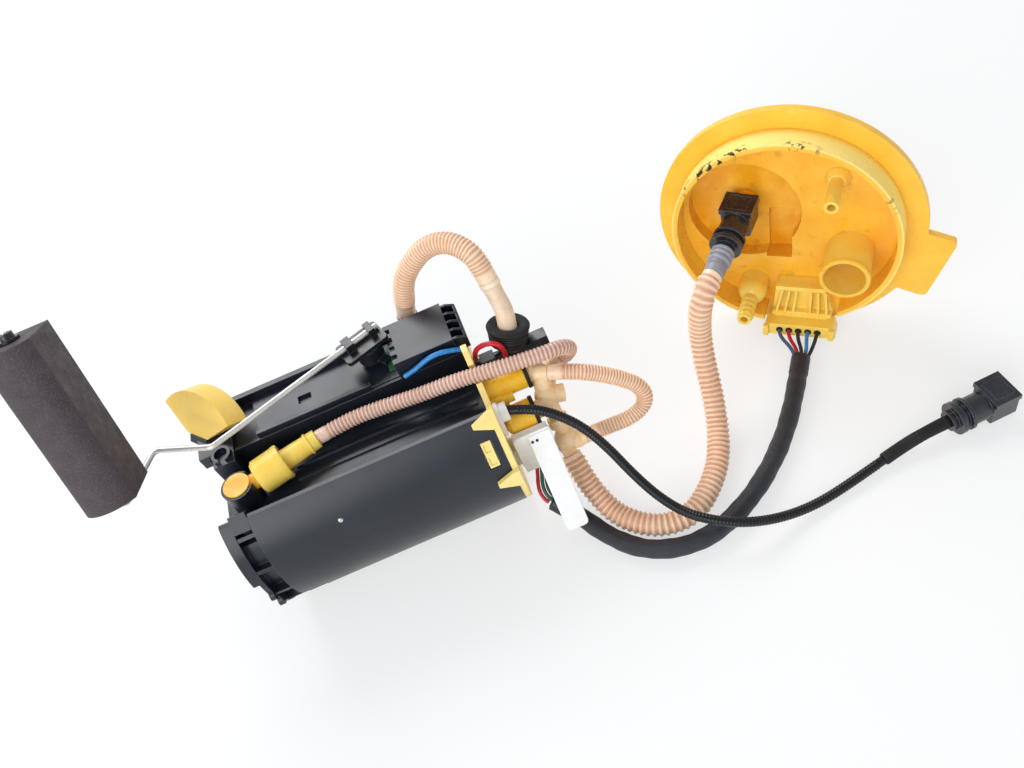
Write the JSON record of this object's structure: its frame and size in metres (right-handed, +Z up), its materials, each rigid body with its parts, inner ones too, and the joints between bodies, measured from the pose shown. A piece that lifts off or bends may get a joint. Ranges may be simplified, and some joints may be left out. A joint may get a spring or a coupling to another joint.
{
  "type": "fuel pump module",
  "caption": "In-tank fuel pump module: reservoir pot with pump, level sender with swinging float, hoses, wiring and a round tank lid.",
  "frame": {"origin": "middle of the footprint on the surface that it lies on, cords left out", "axes": "+X along the reservoir from its foot to its mouth and on to the lid, +Y away from the level sender's float side, +Z up"},
  "size_m": [0.4227, 0.1669, 0.1964],
  "materials": {
    "amber_plastic": "moulded, translucent amber",
    "lid_plastic": "moulded, satin gloss, aged",
    "pale_yellow_plastic": "moulded, satin",
    "yellow_plastic": "moulded, satin",
    "black_gloss": "moulded, smooth gloss",
    "black_plastic": "moulded, fine grain",
    "white_plastic": "moulded",
    "tan_nylon": "translucent, tan",
    "pink_hose": "translucent convoluted tube",
    "black_hose": "convoluted tube",
    "cream_cuff": "shrunk neck of the tube",
    "black_rubber": "matte",
    "float_foam": "closed-cell, speckled",
    "steel": "zinc plated",
    "steel_wire": "bright drawn wire",
    "copper": "wound, lacquered",
    "tin": "tinned",
    "ferrite": "sintered",
    "loom_wrap": "woven sleeve",
    "blue_lead": "insulated wire",
    "red_lead": "insulated wire",
    "grey_cuff": "translucent grey",
    "card": "resistor card",
    "mesh": "woven strainer"
  },
  "bodies": {
    "module": {"pot_shell": "black_gloss", "pot_base": "black_gloss", "tank_foot": "pale_yellow_plastic", "top_plate": "pale_yellow_plastic", "inlet_valve": "black_rubber", "sender_bracket": "black_gloss", "sender_housing": "black_gloss", "sender_card": "card", "valve_elbow": "yellow_plastic", "check_valve": "yellow_plastic", "feed_elbow": "black_plastic", "outlet_body": "amber_plastic", "regulator": "amber_plastic", "y_fitting": "tan_nylon", "t_fitting": "tan_nylon", "line_collar": "white_plastic", "plate_connector": "white_plastic", "connector_strap": "white_plastic", "top_connector": "black_plastic", "top_connector_nut": "black_plastic", "top_connector_plug": "black_plastic", "lid_flange": "lid_plastic", "lid_ring": "lid_plastic", "lid_filler": "lid_plastic", "lid_nipples": "lid_plastic", "lid_terminals": "tin", "lid_harness_plug": "lid_plastic", "lid_connector": "black_plastic", "lid_connector_seal": "black_rubber", "free_connector": "black_plastic", "free_connector_seal": "black_rubber", "pump_case": "steel", "pump_inlet_cover": "black_plastic", "pump_end_cap": "black_plastic", "pump_magnets": "ferrite", "pump_sleeve": "black_rubber", "suction_strainer": "mesh", "jet_pump": "black_plastic", "feed_hose": "pink_hose", "jet_hose": "pink_hose", "link_hose": "pink_hose", "return_hose": "pink_hose", "aux_line": "black_hose", "aux_sleeve": "black_rubber", "loom": "loom_wrap", "red_wire": "red_lead", "blue_wire": "blue_lead", "plug_leads": "blue_lead", "bracket_leads": "red_lead", "feed_cuff": "cream_cuff", "return_cuff": "grey_cuff"},
    "arm": {"sender_rotor": "black_plastic", "float_arm": "steel_wire", "float_clip": "black_plastic"},
    "float_pivot": {"float": "float_foam"},
    "pump_rotor": {"pump_armature": "copper", "pump_impeller": "black_plastic"},
    "poppet": {"check_poppet": "white_plastic", "check_spring": "steel"},
    "lid_button": {"lid_connector_latch": "black_plastic"},
    "free_button": {"free_connector_latch": "black_plastic"}
  },
  "joints": [
    {"name": "arm_swing", "type": "hinge", "parent": "module", "child": "arm", "pos_m": [-0.076, 0.029, 0.095], "axis": [0, 0, 1], "range_deg": [0, 75]},
    {"name": "float_turn", "type": "hinge", "parent": "arm", "child": "float_pivot", "pos_m": [-0.1996, -0.0161, 0.1172], "axis": [0, 0.4384, 0.8988], "range_deg": [-30, 30]},
    {"name": "pump_spin", "type": "hinge", "parent": "module", "child": "pump_rotor", "pos_m": [-0.104, 0, 0.036], "axis": [1, 0, 0], "continuous": true},
    {"name": "poppet_lift", "type": "slide", "parent": "module", "child": "poppet", "axis": [0.9646, 0.2639, 0], "range_m": [0, 0.002], "stiffness_N_per_m": 60, "springref_m": -0.002},
    {"name": "lid_button_press", "type": "slide", "parent": "module", "child": "lid_button", "axis": [0.029, 0.0371, -0.9989], "range_m": [0, 0.0015], "stiffness_N_per_m": 200, "springref_m": -0.002},
    {"name": "free_button_press", "type": "slide", "parent": "module", "child": "free_button", "axis": [0, 0, -1], "range_m": [0, 0.0015], "stiffness_N_per_m": 200, "springref_m": -0.002}
  ]
}
